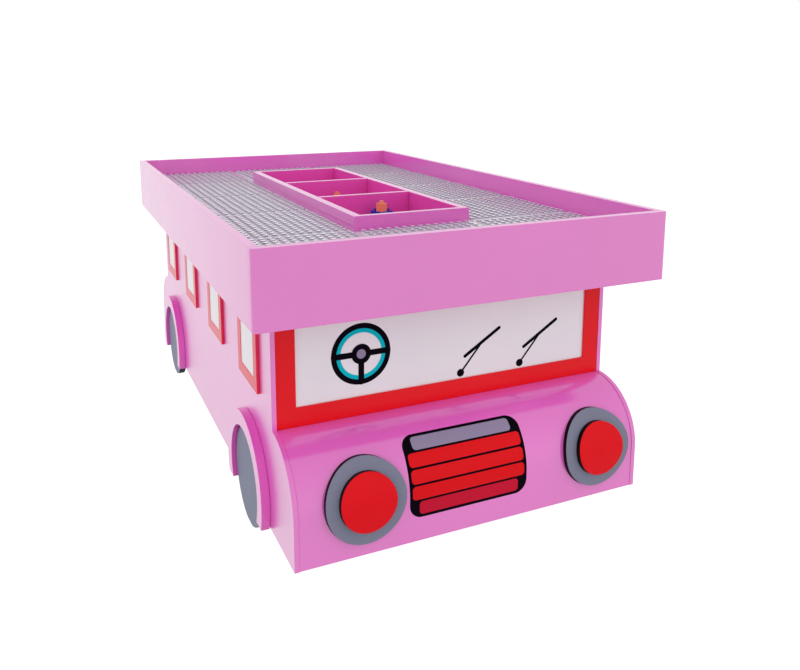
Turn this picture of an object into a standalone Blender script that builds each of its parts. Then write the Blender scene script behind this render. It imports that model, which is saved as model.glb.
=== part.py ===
"""Bus-shaped play table: a brick-building tray with a three-bin trough, on a hollow board body.

X runs across the bus, Y from its nose to its tail and Z up from the floor.
The origin is on the floor, in the middle of the whole table. All lengths are metres.
"""
import math

import bmesh
import bpy
from mathutils import Matrix, Vector

# Clearances
CONTACT_GAP = 0.0003            # between pieces that are glued or screwed face to face
PLATE_SEAM = 0.001              # between neighbouring base plates
TROUGH_CLEARANCE = 0.001        # round the trough in the deck's cut-out, each side
WHEEL_CLEARANCE = 0.001         # round a wheel in the side panel's notch
BOLT_CLEARANCE = 0.0003         # round a bolt in its bore

# Play tray
PLATE_PITCH = 0.235             # square base plates, edge to edge
PLATE_COLUMNS = 3
PLATE_ROWS = 5
PLATE_THICKNESS = 0.003
PLATE_STUD_STEP = 3             # every third stud of a plate is modelled, each way
PLAY_HEIGHT = 0.501             # top of the base plates above the floor
RIM_THICKNESS = 0.015
RIM_HEIGHT = 0.121
RIM_LIP = 0.042                 # rim's top above the base plates
DECK_THICKNESS = 0.015

# Trough for loose bricks
TROUGH_PLATES = 3               # base plates that the trough takes the place of
TROUGH_BINS = 3
TROUGH_WALL = 0.016             # its side walls
TROUGH_END_WALL = 0.012
TROUGH_DIVIDER = 0.012
TROUGH_FLOOR = 0.006
TROUGH_LEDGE = 0.020            # trough's floor runs on under the deck, each side
TROUGH_RISE = 0.027             # trough's top above the base plates

# Body
SIDE_OVERHANG = 0.050           # tray's rim stands out this far past the side panels
SIDE_PANEL = 0.008
GROUND_CLEARANCE = 0.048
NOSE_OVERHANG = 0.007           # bonnet's front ahead of the tray's rim
TAIL_INSET = 0.073              # rear panel's place short of the tray's rim
END_RADIUS = 0.105              # bend of the bonnet and of the boot
END_HEIGHT = 0.227              # top of the bonnet and of the boot above the floor
END_SKIN = 0.006
END_PANEL = 0.012               # windscreen panel and rear panel
SKIN_INSET = 0.0012             # skins and end panels lie this far inside the side panels' edges
CARCASS_SIDE = 0.018

# Windscreen
SCREEN_FRAME_THICKNESS = 0.003
SCREEN_FRAME = 0.032

# Side windows
WINDOW_COUNT = 4
WINDOW_WIDTH = 0.125
WINDOW_HEIGHT = 0.137
WINDOW_SILL = 0.263             # bottom of the frames above the floor
WINDOW_FRONT_MARGIN = 0.067     # from the windscreen to the first window
WINDOW_REAR_MARGIN = 0.058      # from the last window to the rear panel
WINDOW_FRAME = 0.021
WINDOW_THICKNESS = 0.005
WINDOW_RECESS = 0.001           # pane below the frame

# Wheels
WHEEL_RADIUS = 0.086
WHEEL_THICKNESS = 0.015
WHEEL_FLAT = 0.0012             # sawn off the bottom, so that the table stands firm
FRONT_WHEEL_SETBACK = 0.244     # behind the bonnet's front
REAR_WHEEL_INSET = 0.119        # ahead of the rear panel
ARCH_GAP = 0.0045
ARCH_WIDTH = 0.0275
ARCH_THICKNESS = 0.015
ARCH_DROP = 0.0025              # arches reach this far below the side panels

# Headlamps
LAMP_MARGIN = {"left": 0.1145, "right": 0.0885}    # lamp's middle to the side panel's outer face
LAMP_HEIGHT = 0.138
LAMP_TILT = math.radians(15)
BEZEL_RADIUS = 0.0665
BEZEL_THICKNESS = 0.009
LENS_RADIUS = 0.046
LENS_THICKNESS = 0.010

# Wheel bolts
BOLT_RADIUS = 0.004
BOLT_HEAD_RADIUS = 0.009
BOLT_HEAD_FLAT = 0.0063         # radius of the flat on top of the head
BOLT_HEAD_HEIGHT = 0.005
BOLT_GRIP = 0.010               # length in the wheel

# Loose bricks
BRICK_PITCH = 0.016
BRICK_PLAY = 0.0002             # a brick is this much smaller than its pitches
BRICK_HEIGHT = 0.014
SMALL_BRICK_HEIGHT = 0.0175
BRICK_WALL = 0.0022
SMALL_BRICK_WALL = 0.0029
BRICK_TOP = 0.0022
STUD_RADIUS = 0.0047
STUD_HEIGHT = 0.0044
BRICK_TURN = math.radians(21.4)
LOOSE_BRICK_TURN = math.radians(-24)
BIG_BRICK_PLACE = (0.0245, 0.1895)     # x, and y from the first bin's front
LOOSE_BRICK_PLACE = (0.014, 0.1943)    # x, and y from the second bin's front

# Edges and faceting
BOARD_EDGE = 0.0006
TRIM_EDGE = 0.0003
BRICK_EDGE = 0.0004
EDGE_SEGMENTS = 2
EDGE_ANGLE = math.radians(40)   # edges sharper than this are rounded
SMOOTH_ANGLE = math.radians(30) # faces are shaded smooth across edges flatter than this
FLAT_ANGLE = math.radians(0.2)  # faces flatter than this to each other are joined
WELD_DISTANCE = 0.00001
ARC_STEPS = 28
WHEEL_STEPS = 60
SMALL_STEPS = 12
PLATE_STUD_STEPS = 8

# Tray levels and lengths
plate_bottom = PLAY_HEIGHT - PLATE_THICKNESS
deck_top = plate_bottom - CONTACT_GAP
deck_bottom = deck_top - DECK_THICKNESS
carcass_top = deck_bottom - CONTACT_GAP
rim_top = PLAY_HEIGHT + RIM_LIP
rim_bottom = rim_top - RIM_HEIGHT
tray_width = PLATE_COLUMNS * PLATE_PITCH
tray_length = PLATE_ROWS * PLATE_PITCH
table_length = tray_length + 2 * RIM_THICKNESS
lamp_stack = 2 * CONTACT_GAP + BEZEL_THICKNESS + LENS_THICKNESS
nose = NOSE_OVERHANG - SKIN_INSET + lamp_stack
tail = END_RADIUS - TAIL_INSET
rim_front = (nose - table_length - tail) / 2
rim_back = rim_front + table_length
tray_front = rim_front + RIM_THICKNESS
tray_back = rim_back - RIM_THICKNESS

# Trough
first_trough_row = (PLATE_ROWS - TROUGH_PLATES) // 2
trough_width = PLATE_PITCH - PLATE_SEAM
trough_front = tray_front + first_trough_row * PLATE_PITCH + PLATE_SEAM / 2
trough_back = trough_front + TROUGH_PLATES * PLATE_PITCH - PLATE_SEAM
trough_top = PLAY_HEIGHT + TROUGH_RISE
trough_floor_top = deck_bottom - CONTACT_GAP
bin_length = (trough_back - trough_front - 2 * TROUGH_END_WALL
              - (TROUGH_BINS - 1) * TROUGH_DIVIDER) / TROUGH_BINS

# Body
side_outer = tray_width / 2 + RIM_THICKNESS - SIDE_OVERHANG
side_inner = side_outer - SIDE_PANEL
carcass_inner = side_inner - CONTACT_GAP - CARCASS_SIDE
bonnet_front = rim_front - NOSE_OVERHANG
screen_front = bonnet_front + END_RADIUS
body_back = rim_back - TAIL_INSET
boot_back = body_back + END_RADIUS
bend_height = END_HEIGHT - END_RADIUS
skin_radius = END_RADIUS - SKIN_INSET
frame_front = screen_front + SKIN_INSET
screen_panel_front = frame_front + SCREEN_FRAME_THICKNESS + CONTACT_GAP
screen_panel_back = screen_panel_front + END_PANEL
rear_panel_back = body_back - SKIN_INSET
rear_panel_front = rear_panel_back - END_PANEL
wheel_height = WHEEL_RADIUS - WHEEL_FLAT
wheel_places = {"front": bonnet_front + FRONT_WHEEL_SETBACK, "rear": body_back - REAR_WHEEL_INSET}
SIDES = {"left": -1, "right": 1}

# Local X, Y and Z of an outline, in the world, for each way that a board can face
FACINGS = {
    "side": Matrix(((0, 0, 1, 0), (1, 0, 0, 0), (0, 1, 0, 0), (0, 0, 0, 1))),
    "front": Matrix(((1, 0, 0, 0), (0, 0, -1, 0), (0, 1, 0, 0), (0, 0, 0, 1))),
    "top": Matrix.Identity(4),
}
NORMALS = {"side": Vector((1, 0, 0)), "front": Vector((0, 1, 0)), "top": Vector((0, 0, 1))}


def new_collection(name):
    """Make a collection in the scene."""
    collection = bpy.data.collections.new(name)
    bpy.context.scene.collection.children.link(collection)
    return collection


for old in list(bpy.data.objects):
    bpy.data.objects.remove(old)
parts = new_collection("bus_play_table")
cutters = new_collection("cutters_and_guides")


def principled(name, colour, roughness, metallic=0.0):
    """Make a plain Principled material."""
    material = bpy.data.materials.new(name)
    material.use_nodes = True
    shader = material.node_tree.nodes["Principled BSDF"]
    shader.inputs["Base Color"].default_value = (*colour, 1.0)
    shader.inputs["Roughness"].default_value = roughness
    shader.inputs["Metallic"].default_value = metallic
    return material


PINK = principled("pink_lacquered_board", (0.80, 0.28, 0.60), 0.35)
BONNET_PINK = principled("pink_lacquered_ply", (0.82, 0.24, 0.58), 0.30)
RED = principled("red_lacquered_board", (0.78, 0.02, 0.04), 0.35)
WHITE = principled("white_lacquered_board", (0.82, 0.80, 0.84), 0.30)
WHEEL_GREY = principled("grey_lacquered_board", (0.22, 0.25, 0.33), 0.45)
LAMP_GREY = principled("grey_lamp_bezel", (0.17, 0.20, 0.26), 0.40)
PLATE_GREY = principled("pale_grey_plastic", (0.60, 0.58, 0.66), 0.35)
CARCASS = principled("unpainted_board", (0.62, 0.47, 0.30), 0.60)
BLUE = principled("blue_plastic", (0.01, 0.06, 0.45), 0.25)
ORANGE = principled("orange_plastic", (0.85, 0.18, 0.06), 0.25)
STEEL = principled("zinc_plated_steel", (0.60, 0.60, 0.62), 0.35, 1.0)


def add_object(name, mesh, material=None):
    """Put a mesh in the scene: a part if it has a material, or else a cutter or guide."""
    item = bpy.data.objects.new(name, mesh)
    if material:
        mesh.materials.append(material)
        mesh.shade_smooth()
        mesh.set_sharp_from_angle(angle=SMOOTH_ANGLE)
        parts.objects.link(item)
    else:
        cutters.objects.link(item)
        item.hide_render = True
        item.display_type = "WIRE"
    return item


def round_edges(item, width):
    """Round an object's sharp edges by a small width."""
    modifier = item.modifiers.new("rounded_edges", "BEVEL")
    modifier.width = width
    modifier.segments = EDGE_SEGMENTS
    modifier.limit_method = "ANGLE"
    modifier.angle_limit = EDGE_ANGLE
    modifier.harden_normals = True


def boolean(item, operand, operation):
    """Cut, join or trim an object with another one."""
    modifier = item.modifiers.new(operand.name, "BOOLEAN")
    modifier.operation = operation
    modifier.object = operand


def block(name, low, high, material=None, edge=None):
    """Make a board or block between two corners."""
    low, high = Vector(low), Vector(high)
    shape = bmesh.new()
    bmesh.ops.create_cube(shape, size=1.0)
    bmesh.ops.scale(shape, vec=high - low, verts=shape.verts)
    mesh = bpy.data.meshes.new(name)
    shape.to_mesh(mesh)
    shape.free()
    item = add_object(name, mesh, material)
    item.location = (low + high) / 2
    if edge:
        round_edges(item, edge)
    return item


def arc(centre, radius, start, end, steps):
    """Points along an arc, from one angle to another."""
    turn = (end - start) / steps
    angles = [start + turn * step for step in range(steps + 1)]
    return [(centre[0] + radius * math.cos(a), centre[1] + radius * math.sin(a)) for a in angles]


def rectangle(low, high):
    """Corners of a rectangle."""
    return [low, (high[0], low[1]), high, (low[0], high[1])]


def profile_board(name, outlines, facing, near, thickness, material=None, edge=None):
    """Make a board from flat outlines, the first its edge and the others its holes.

    near is where the board starts along the way that it faces.
    """
    curve = bpy.data.curves.new(name, "CURVE")
    curve.dimensions = "2D"
    curve.fill_mode = "BOTH"
    curve.extrude = thickness / 2
    for outline in outlines:
        spline = curve.splines.new("POLY")
        spline.points.add(len(outline) - 1)
        for point, place in zip(spline.points, outline):
            point.co = (place[0], place[1], 0.0, 1.0)
        spline.use_cyclic_u = True
    drawn = bpy.data.objects.new(name + "_outline", curve)
    cutters.objects.link(drawn)
    evaluated = drawn.evaluated_get(bpy.context.evaluated_depsgraph_get())
    mesh = bpy.data.meshes.new_from_object(evaluated)
    bpy.data.objects.remove(drawn)
    shape = bmesh.new()
    shape.from_mesh(mesh)
    bmesh.ops.remove_doubles(shape, verts=shape.verts, dist=WELD_DISTANCE)
    bmesh.ops.dissolve_limit(shape, angle_limit=FLAT_ANGLE, verts=shape.verts, edges=shape.edges)
    bmesh.ops.recalc_face_normals(shape, faces=shape.faces)
    shape.to_mesh(mesh)
    shape.free()
    item = add_object(name, mesh, material)
    middle = NORMALS[facing] * (near + thickness / 2)
    item.matrix_world = Matrix.Translation(middle) @ FACINGS[facing]
    if edge:
        round_edges(item, edge)
    return item


def cylinders(name, places, radius, length, axis, steps=SMALL_STEPS):
    """Make one cutter of equal cylinders, each centred on its place along an axis."""
    shape = bmesh.new()
    turn = Vector((0, 0, 1)).rotation_difference(Vector(axis)).to_matrix().to_4x4()
    for place in places:
        bmesh.ops.create_cone(shape, cap_ends=True, segments=steps, radius1=radius,
                              radius2=radius, depth=length, matrix=Matrix.Translation(place) @ turn)
    mesh = bpy.data.meshes.new(name)
    shape.to_mesh(mesh)
    shape.free()
    return add_object(name, mesh)


def layer(side, inner, outer):
    """Lowest x and thickness of a layer between two distances from the middle of the bus."""
    return min(side * inner, side * outer), outer - inner


def make_rim():
    """Four boards round the tray. The long ones stand between the short ones."""
    half = tray_width / 2 + RIM_THICKNESS
    for name, front in (("rim_front", rim_front), ("rim_rear", tray_back)):
        block(name, (-half, front, rim_bottom), (half, front + RIM_THICKNESS, rim_top), PINK, BOARD_EDGE)
    for name, side in SIDES.items():
        low_x, thickness = layer(side, tray_width / 2, half)
        block("rim_" + name, (low_x, tray_front + CONTACT_GAP, rim_bottom),
              (low_x + thickness, tray_back - CONTACT_GAP, rim_top), PINK, BOARD_EDGE)


def make_deck():
    """The board under the base plates, with a cut-out that the trough drops through."""
    half_width = tray_width / 2 - CONTACT_GAP
    edge = rectangle((-half_width, tray_front + CONTACT_GAP), (half_width, tray_back - CONTACT_GAP))
    half_cut = trough_width / 2 + TROUGH_CLEARANCE
    cut_out = rectangle((-half_cut, trough_front - TROUGH_CLEARANCE),
                        (half_cut, trough_back + TROUGH_CLEARANCE))
    return profile_board("deck_board", [edge, cut_out], "top", deck_bottom, DECK_THICKNESS, PINK)


def make_base_plates():
    """A square base plate in each place of the grid that the trough leaves free, with its main studs."""
    size = PLATE_PITCH - PLATE_SEAM
    studs = int(size / BRICK_PITCH)
    first = (size - (studs - 1) * BRICK_PITCH) / 2
    steps = [first + number * BRICK_PITCH for number in range(PLATE_STUD_STEP - 1, studs, PLATE_STUD_STEP)]
    root = PLAY_HEIGHT - PLATE_THICKNESS / 2
    top = PLAY_HEIGHT + STUD_HEIGHT
    places = [Vector((along, back, (root + top) / 2)) for along in steps for back in steps]
    trough_rows = range(first_trough_row, first_trough_row + TROUGH_PLATES)
    middle_column = PLATE_COLUMNS // 2
    for row in range(PLATE_ROWS):
        for column in range(PLATE_COLUMNS):
            if column == middle_column and row in trough_rows:
                continue
            x = column * PLATE_PITCH - tray_width / 2 + PLATE_SEAM / 2
            y = row * PLATE_PITCH + tray_front + PLATE_SEAM / 2
            name = f"base_plate_{row + 1}_{column + 1}"
            plate = block(name, (x, y, plate_bottom), (x + size, y + size, PLAY_HEIGHT), PLATE_GREY)
            knobs = cylinders(name + "_studs", places, STUD_RADIUS, top - root, (0, 0, 1), PLATE_STUD_STEPS)
            knobs.location = (x, y, 0.0)
            boolean(plate, knobs, "UNION")


def make_trough():
    """A box of boards in the deck's cut-out, on a floor that is fixed under the deck."""
    half = trough_width / 2
    ledge = TROUGH_CLEARANCE + TROUGH_LEDGE
    block("trough_floor", (-half - ledge, trough_front - ledge, trough_floor_top - TROUGH_FLOOR),
          (half + ledge, trough_back + ledge, trough_floor_top), PINK)
    bottom = trough_floor_top + CONTACT_GAP
    ends = (("trough_wall_front", trough_front), ("trough_wall_rear", trough_back - TROUGH_END_WALL))
    for name, front in ends:
        block(name, (-half, front, bottom), (half, front + TROUGH_END_WALL, trough_top), PINK, BOARD_EDGE)
    end_joint = TROUGH_END_WALL + CONTACT_GAP
    for name, side in SIDES.items():
        low_x, thickness = layer(side, half - TROUGH_WALL, half)
        block("trough_wall_" + name, (low_x, trough_front + end_joint, bottom),
              (low_x + thickness, trough_back - end_joint, trough_top), PINK, BOARD_EDGE)
    side_joint = TROUGH_WALL + CONTACT_GAP
    for number in range(1, TROUGH_BINS):
        front = trough_front + TROUGH_END_WALL + number * bin_length + (number - 1) * TROUGH_DIVIDER
        block(f"trough_divider_{number}", (side_joint - half, front, bottom),
              (half - side_joint, front + TROUGH_DIVIDER, trough_top), PINK, BOARD_EDGE)


def make_side_panels():
    """Panels with the bus's outline, notched for the wheels."""
    radius = WHEEL_RADIUS + WHEEL_CLEARANCE
    dip = math.asin((wheel_height - GROUND_CLEARANCE) / radius)
    outline = [(bonnet_front, GROUND_CLEARANCE)]
    for place in wheel_places.values():
        outline += arc((place, wheel_height), radius, math.pi + dip, -dip, ARC_STEPS)
    outline.append((boot_back, GROUND_CLEARANCE))
    outline += arc((body_back, bend_height), END_RADIUS, 0, math.pi / 2, ARC_STEPS)
    outline += [(body_back, carcass_top), (screen_front, carcass_top)]
    outline += arc((screen_front, bend_height), END_RADIUS, math.pi / 2, math.pi, ARC_STEPS)
    for name, side in SIDES.items():
        low_x, thickness = layer(side, side_inner, side_outer)
        profile_board("side_panel_" + name, [outline], "side", low_x, thickness, PINK, BOARD_EDGE)


def make_skins():
    """Bent skins over the nose and the tail, between the side panels."""
    inner = skin_radius - END_SKIN
    width = 2 * (side_inner - CONTACT_GAP)
    ends = (("bonnet_skin", screen_front, -1, screen_panel_front - CONTACT_GAP),
            ("boot_skin", body_back, 1, rear_panel_back + CONTACT_GAP))
    for name, middle, way, butt in ends:
        low = math.pi if way < 0 else 0
        outline = [(middle + way * skin_radius, GROUND_CLEARANCE)]
        outline += arc((middle, bend_height), skin_radius, low, math.pi / 2, ARC_STEPS)
        outline += [(butt, bend_height + skin_radius), (butt, bend_height + inner)]
        outline += arc((middle, bend_height), inner, math.pi / 2, low, ARC_STEPS)
        outline.append((middle + way * inner, GROUND_CLEARANCE))
        profile_board(name, [outline], "side", -width / 2, width, BONNET_PINK, TRIM_EDGE)


def make_ends():
    """The windscreen panel, the red frame in front of it, and the rear panel."""
    half = side_inner - CONTACT_GAP
    block("windscreen_panel", (-half, screen_panel_front, GROUND_CLEARANCE),
          (half, screen_panel_back, carcass_top), WHITE, TRIM_EDGE)
    bottom = bend_height + skin_radius + CONTACT_GAP
    top = rim_bottom - CONTACT_GAP
    edge = rectangle((-half, bottom), (half, top))
    hole = rectangle((-half + SCREEN_FRAME, bottom + SCREEN_FRAME),
                     (half - SCREEN_FRAME, top - SCREEN_FRAME))
    profile_board("windscreen_frame", [edge, hole], "front", frame_front, SCREEN_FRAME_THICKNESS,
                  RED, TRIM_EDGE)
    block("rear_panel", (-half, rear_panel_front, GROUND_CLEARANCE),
          (half, rear_panel_back, carcass_top), PINK, BOARD_EDGE)


def make_side_windows():
    """A row of windows on each side, each a board with its pane cut back inside its frame."""
    first = screen_front + WINDOW_FRONT_MARGIN
    last = body_back - WINDOW_REAR_MARGIN - WINDOW_WIDTH
    spacing = (last - first) / (WINDOW_COUNT - 1)
    base = side_outer + CONTACT_GAP
    face = base + WINDOW_THICKNESS
    top = WINDOW_SILL + WINDOW_HEIGHT
    for name, side in SIDES.items():
        for number in range(WINDOW_COUNT):
            front = first + number * spacing
            back = front + WINDOW_WIDTH
            low_x, thickness = layer(side, base, face)
            window = block(f"side_window_{name}_{number + 1}", (low_x, front, WINDOW_SILL),
                           (low_x + thickness, back, top), RED, TRIM_EDGE)
            low_x, thickness = layer(side, face - WINDOW_RECESS, face + WINDOW_RECESS)
            pane = block(f"pane_cut_{name}_{number + 1}",
                         (low_x, front + WINDOW_FRAME, WINDOW_SILL + WINDOW_FRAME),
                         (low_x + thickness, back - WINDOW_FRAME, top - WINDOW_FRAME))
            boolean(window, pane, "DIFFERENCE")


def make_wheels():
    """Fixed wheel discs, which the table stands on, each under an arch."""
    flat = math.acos(wheel_height / WHEEL_RADIUS)
    inner_radius = WHEEL_RADIUS + ARCH_GAP
    outer_radius = inner_radius + ARCH_WIDTH
    drop = wheel_height - GROUND_CLEARANCE + ARCH_DROP
    inner_dip = math.asin(drop / inner_radius)
    outer_dip = math.asin(drop / outer_radius)
    for end, place in wheel_places.items():
        centre = (place, wheel_height)
        disc = arc(centre, WHEEL_RADIUS, flat - math.pi / 2, math.pi * 3 / 2 - flat, WHEEL_STEPS)
        arch = arc(centre, outer_radius, -outer_dip, math.pi + outer_dip, ARC_STEPS)
        arch += arc(centre, inner_radius, math.pi + inner_dip, -inner_dip, ARC_STEPS)
        for name, side in SIDES.items():
            low_x, thickness = layer(side, side_inner, side_inner + WHEEL_THICKNESS)
            wheel = profile_board(f"wheel_{end}_{name}", [disc], "side", low_x, thickness,
                                  WHEEL_GREY, BOARD_EDGE)
            boolean(wheel, bolt_bores[side], "DIFFERENCE")
            base = side_outer + CONTACT_GAP
            low_x, thickness = layer(side, base, base + ARCH_THICKNESS)
            profile_board(f"wheel_arch_{end}_{name}", [arch], "side", low_x, thickness,
                          PINK, BOARD_EDGE)


def make_carcass_sides():
    """Thick boards inside the side panels, which carry the deck and hold the wheel bolts."""
    for name, side in SIDES.items():
        low_x, thickness = layer(side, carcass_inner, carcass_inner + CARCASS_SIDE)
        board = block("carcass_side_" + name,
                      (low_x, screen_panel_back + CONTACT_GAP, GROUND_CLEARANCE),
                      (low_x + thickness, rear_panel_front - CONTACT_GAP, carcass_top), CARCASS)
        boolean(board, bolt_bores[side], "DIFFERENCE")


def make_bolt_bores():
    """The cutter for the wheel bolts of each side, from the bolts' heads to just past their tips."""
    start = carcass_inner - CONTACT_GAP - BOLT_HEAD_HEIGHT
    end = carcass_inner + CARCASS_SIDE + BOLT_GRIP + 2 * CONTACT_GAP
    bores = {}
    for name, side in SIDES.items():
        middle = side * (start + end) / 2
        places = [Vector((middle, place, wheel_height)) for place in wheel_places.values()]
        bores[side] = cylinders("bolt_bores_" + name, places, BOLT_RADIUS + BOLT_CLEARANCE,
                                end - start, (1, 0, 0))
    return bores


def make_bolts():
    """A pan-head bolt from inside into each wheel."""
    shank = CARCASS_SIDE + CONTACT_GAP + BOLT_GRIP
    profile = [(0.0, shank), (BOLT_RADIUS, shank), (BOLT_RADIUS, 0.0), (BOLT_HEAD_RADIUS, 0.0),
               (BOLT_HEAD_RADIUS, -BOLT_HEAD_HEIGHT / 2),
               (BOLT_HEAD_FLAT, -BOLT_HEAD_HEIGHT), (0.0, -BOLT_HEAD_HEIGHT)]
    for end, place in wheel_places.items():
        for name, side in SIDES.items():
            mesh = bpy.data.meshes.new("bolt_profile")
            edges = [(corner, corner + 1) for corner in range(len(profile) - 1)]
            mesh.from_pydata([(radius, 0.0, height) for radius, height in profile], edges, [])
            bolt = add_object(f"wheel_bolt_{end}_{name}", mesh, STEEL)
            bolt.location = (side * (carcass_inner - CONTACT_GAP), place, wheel_height)
            bolt.rotation_euler = (0.0, side * math.pi / 2, 0.0)
            turn = bolt.modifiers.new("turned", "SCREW")
            turn.steps = SMALL_STEPS
            turn.render_steps = SMALL_STEPS
            turn.use_merge_vertices = True
            turn.merge_threshold = WELD_DISTANCE


def lamp_disc(name, x, radius, base, thickness, material):
    """A round piece cut from a sheet that is bent over the bonnet."""
    near = skin_radius + base
    far = near + thickness
    bend = (screen_front, bend_height)
    sheet = [(screen_front - far, GROUND_CLEARANCE)]
    sheet += arc(bend, far, math.pi, math.pi / 2, ARC_STEPS)
    sheet += arc(bend, near, math.pi / 2, math.pi, ARC_STEPS)
    sheet += [(screen_front - near, GROUND_CLEARANCE)]
    item = profile_board(name, [sheet], "side", x - radius - END_SKIN, 2 * (radius + END_SKIN), material)
    shape = bmesh.new()
    outward = Vector((0, -math.cos(LAMP_TILT), math.sin(LAMP_TILT)))
    turn = Vector((0, 0, 1)).rotation_difference(outward).to_matrix().to_4x4()
    bmesh.ops.create_cone(shape, cap_ends=True, segments=WHEEL_STEPS, radius1=radius,
                          radius2=radius, depth=2 * END_RADIUS, matrix=turn)
    mesh = bpy.data.meshes.new(name + "_trim")
    shape.to_mesh(mesh)
    shape.free()
    trim = add_object(name + "_trim", mesh)
    trim.location = (x, bonnet_front, LAMP_HEIGHT)
    boolean(item, trim, "INTERSECT")


def make_headlamps():
    """A grey bezel and a smaller red lens on it, for each lamp."""
    for name, side in SIDES.items():
        x = side * (side_outer - LAMP_MARGIN[name])
        lamp_disc("lamp_bezel_" + name, x, BEZEL_RADIUS, CONTACT_GAP, BEZEL_THICKNESS, LAMP_GREY)
        lens_base = 2 * CONTACT_GAP + BEZEL_THICKNESS
        lamp_disc("lamp_lens_" + name, x, LENS_RADIUS, lens_base, LENS_THICKNESS, RED)


def make_brick(name, studs, wall, height, place, turn, material):
    """A hollow brick with studs x studs studs, turned a little, standing on the given place."""
    size = studs * BRICK_PITCH - BRICK_PLAY
    half = size / 2
    inside = half - wall
    stance = Matrix.Translation(place) @ Matrix.Rotation(turn, 4, "Z")
    brick = block(name, (-half, -half, 0), (half, half, height), material, BRICK_EDGE)
    hollow = block(name + "_hollow", (-inside, -inside, -BRICK_TOP),
                   (inside, inside, height - BRICK_TOP))
    for item in (brick, hollow):
        item.matrix_world = stance @ Matrix.Translation(item.location)
    boolean(brick, hollow, "DIFFERENCE")
    first = -(studs - 1) * BRICK_PITCH / 2
    steps = [first + number * BRICK_PITCH for number in range(studs)]
    root = height - BRICK_TOP / 2
    top = height + STUD_HEIGHT
    knobs = cylinders(name + "_studs", [Vector((x, y, (root + top) / 2)) for x in steps for y in steps],
                      STUD_RADIUS, top - root, (0, 0, 1))
    knobs.matrix_world = stance
    boolean(brick, knobs, "UNION")
    if studs > 1:
        tube_radius = BRICK_PITCH / math.sqrt(2) - STUD_RADIUS - CONTACT_GAP
        tube = cylinders(name + "_tube", [Vector((0, 0, root / 2))], tube_radius, root, (0, 0, 1))
        tube.matrix_world = stance
        boolean(brick, tube, "UNION")
    return stance


def make_bricks():
    """Two stacked bricks in the first bin and a single one in the second."""
    bin_floor = trough_floor_top + CONTACT_GAP
    first_bin = trough_front + TROUGH_END_WALL
    x, y = BIG_BRICK_PLACE
    stance = make_brick("brick_blue", 2, BRICK_WALL, BRICK_HEIGHT, (x, first_bin + y, bin_floor),
                        BRICK_TURN, BLUE)
    nearest_stud = Vector((-BRICK_PITCH / 2, -BRICK_PITCH / 2, BRICK_HEIGHT + CONTACT_GAP))
    make_brick("brick_orange_stacked", 1, SMALL_BRICK_WALL, SMALL_BRICK_HEIGHT, stance @ nearest_stud,
               BRICK_TURN, ORANGE)
    second_bin = first_bin + bin_length + TROUGH_DIVIDER
    x, y = LOOSE_BRICK_PLACE
    make_brick("brick_orange_loose", 1, SMALL_BRICK_WALL, SMALL_BRICK_HEIGHT,
               (x, second_bin + y, bin_floor), LOOSE_BRICK_TURN, ORANGE)


bolt_bores = make_bolt_bores()
make_rim()
make_deck()
make_base_plates()
make_trough()
make_side_panels()
make_skins()
make_ends()
make_side_windows()
make_wheels()
make_carcass_sides()
make_bolts()
make_headlamps()
make_bricks()
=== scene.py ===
"""The look of the bus-shaped play table: finishes, studs, windows, lamps, bricks, prints and light.

Everything is in the frame of the model: X across the bus, Y from its nose to its tail, Z up.
Lengths are metres.
"""
import math

import bmesh
import bpy
from mathutils import Matrix, Vector


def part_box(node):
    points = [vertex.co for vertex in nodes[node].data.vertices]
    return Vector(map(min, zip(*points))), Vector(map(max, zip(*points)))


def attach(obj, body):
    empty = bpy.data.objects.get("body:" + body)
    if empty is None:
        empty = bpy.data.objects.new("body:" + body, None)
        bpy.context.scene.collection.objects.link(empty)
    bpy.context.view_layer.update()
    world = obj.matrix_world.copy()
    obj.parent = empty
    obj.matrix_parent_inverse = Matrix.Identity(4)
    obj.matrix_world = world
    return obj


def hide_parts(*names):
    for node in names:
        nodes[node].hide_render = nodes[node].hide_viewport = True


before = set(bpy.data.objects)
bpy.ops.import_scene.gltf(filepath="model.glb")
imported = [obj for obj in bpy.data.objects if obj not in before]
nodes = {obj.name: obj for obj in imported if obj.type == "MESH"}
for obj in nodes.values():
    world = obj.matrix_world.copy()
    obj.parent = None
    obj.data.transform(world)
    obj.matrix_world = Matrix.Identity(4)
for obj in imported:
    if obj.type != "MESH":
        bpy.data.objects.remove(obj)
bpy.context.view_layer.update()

# Camera, found from the photograph, whose frame is 800 x 670 pixels
IMAGE_WIDTH = 800
MIDDLE_PIXEL = (400.0, 335.0)
AIM_PIXEL = (386.33, 210.86)            # where the camera points, in the photograph
FOCAL_PIXELS = 787.293
SENSOR_WIDTH = 36.0                     # millimetres
CAMERA_PLACE = (-0.6228, -1.6311, 0.7779)
CAMERA_DOWN = 0.17317                   # radians below level
CAMERA_TURN = -0.41914                  # radians from straight along Y

# Strength of the light, by whether it is seen, is mirrored by a gloss or lights a matt surface
SKY = {"seen": 1.0, "mirrored": 1.0, "lighting": 1.12}              # at the horizon
SKY_FALL = {"seen": 0.0, "mirrored": -0.36, "lighting": -0.44}      # from there to straight above
FLOOR_GLOW = {"seen": 1.0, "mirrored": 0.77, "lighting": 0.30}
FLOOR_GREY = 0.26
FLOOR_REACH = 30.0                      # from its middle to its edge

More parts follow.
